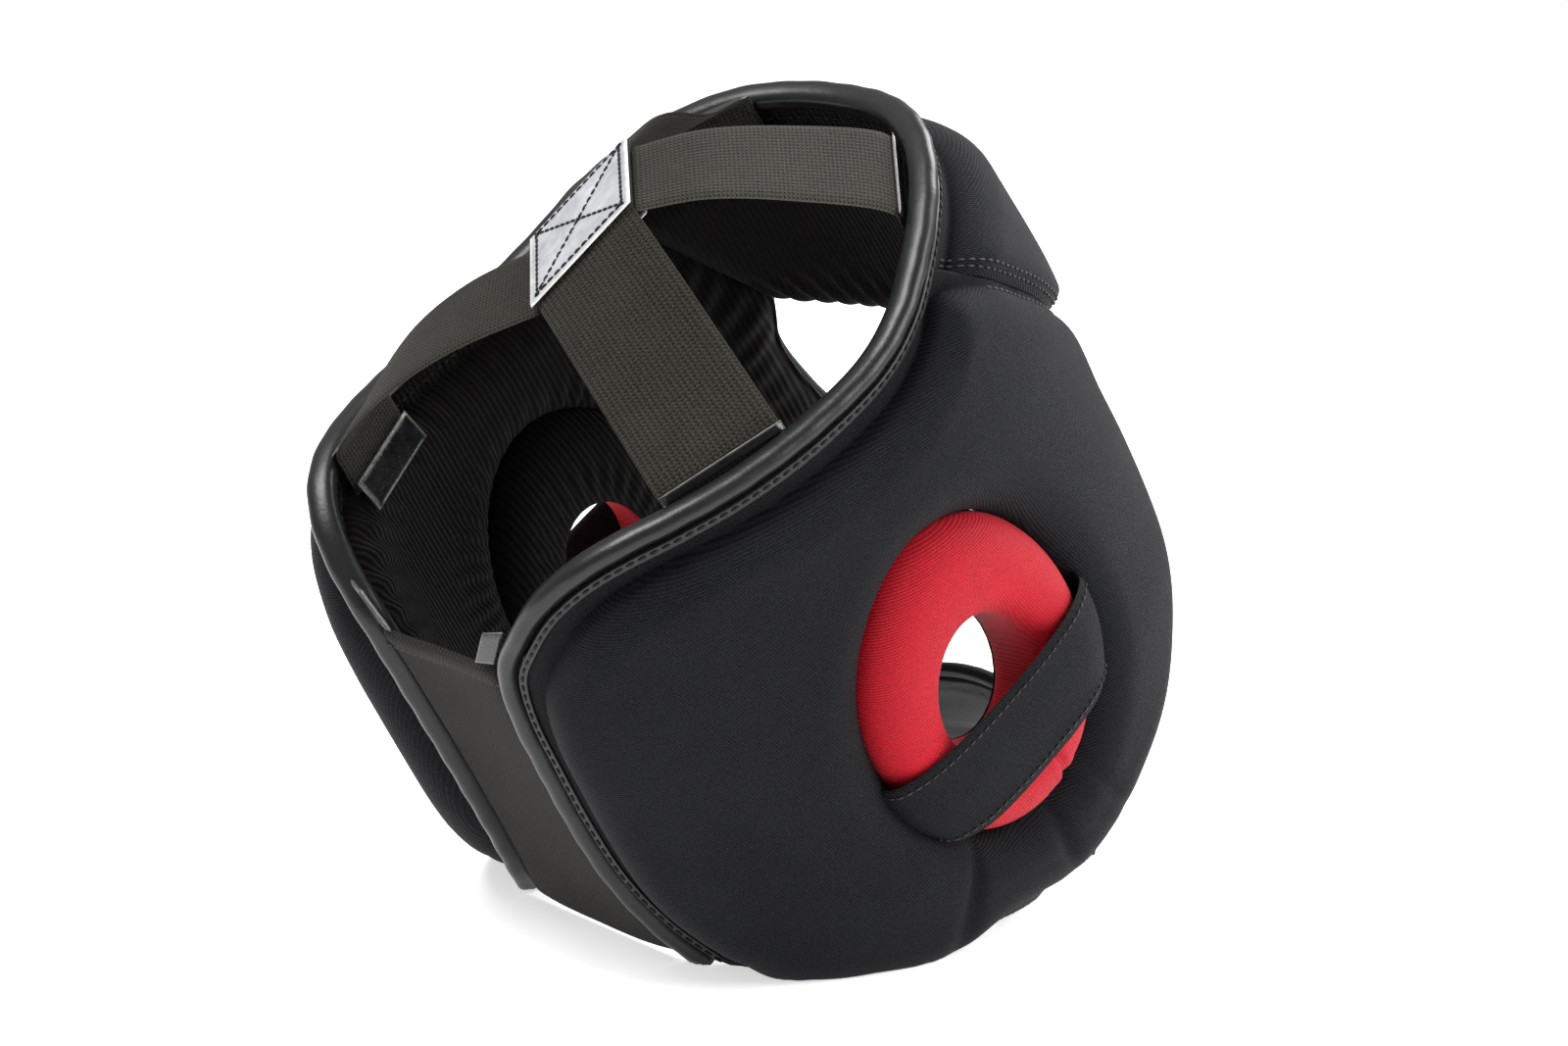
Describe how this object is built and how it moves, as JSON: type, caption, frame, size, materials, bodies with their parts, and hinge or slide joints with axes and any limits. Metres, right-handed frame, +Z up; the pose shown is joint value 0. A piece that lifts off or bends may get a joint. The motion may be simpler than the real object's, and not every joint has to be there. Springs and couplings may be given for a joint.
{
  "type": "padded head guard with ear rings",
  "caption": "Padded neoprene head guard with ear rings, crossed elastic crown webbing, a rear fabric panel and a chin cup, lying on its lower edges.",
  "frame": {"origin": "on the surface under the middle of the guard's box", "axes": "+Z up, +Y towards the back of the head, +X towards the wearer's left; the guard leans back 34 degrees"},
  "size_m": [0.2096, 0.2524, 0.244],
  "materials": {
    "neoprene_black": "matte fine knit over foam",
    "lining_ribbed": "finely ribbed cloth",
    "binding_leather": "satin rolled leather",
    "neoprene_red": "matte knit over foam",
    "elastic_webbing": "woven elastic",
    "patch_leather": "satin grained leather",
    "loop_fabric": "brushed stretch loop",
    "label_white": "smooth woven label"
  },
  "bodies": {
    "root": {"side_pad_right": "neoprene_black", "side_pad_left": "neoprene_black", "lining_right": "lining_ribbed", "lining_left": "lining_ribbed", "brow_pad": "neoprene_black", "lining_brow": "lining_ribbed", "edge_piping": "binding_leather", "ear_ring_right": "neoprene_red", "ear_ring_left": "neoprene_red", "ear_ring_lining_right": "lining_ribbed", "ear_ring_lining_left": "lining_ribbed", "ear_strap_right": "neoprene_black", "ear_strap_left": "neoprene_black", "crown_strap_one": "elastic_webbing", "crown_strap_two": "elastic_webbing", "crown_patch_top": "patch_leather", "crown_patch_bottom": "patch_leather", "strap_tab_front_right": "patch_leather", "strap_tab_back_right": "patch_leather", "strap_tab_front_left": "patch_leather", "strap_tab_back_left": "patch_leather", "back_panel": "loop_fabric", "back_panel_tab_right": "patch_leather", "back_panel_tab_left": "patch_leather", "care_label": "label_white", "chin_cup": "patch_leather", "chin_cup_piping": "binding_leather", "chin_strap_right": "elastic_webbing", "chin_strap_left": "elastic_webbing"}
  },
  "joints": []
}
